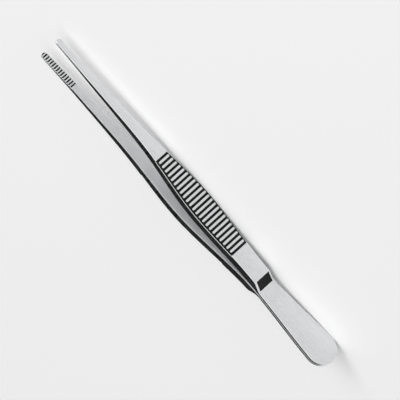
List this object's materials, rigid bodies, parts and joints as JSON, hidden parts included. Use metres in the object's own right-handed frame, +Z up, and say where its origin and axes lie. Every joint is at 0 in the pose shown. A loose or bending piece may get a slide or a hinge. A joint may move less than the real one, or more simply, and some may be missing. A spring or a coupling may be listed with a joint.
{
  "type": "thumb forceps",
  "caption": "Slender spring thumb forceps: two flat steel arms welded at a rounded butt, with ribbed finger grips, long tapering shanks and fine cross-toothed jaws for holding dressings.",
  "frame": {"origin": "on the surface that the forceps lies on, under the middle of its bounding box", "axes": "+X from the butt towards the tips, +Y from the front arm to the back arm, +Z up, across the width of both arms, which lie on their side edges"},
  "size_m": [0.14, 0.0132, 0.0119],
  "materials": {
    "satin_steel": "satin"
  },
  "bodies": {
    "root": {"front_arm": "satin_steel", "back_arm": "satin_steel"}
  },
  "joints": []
}
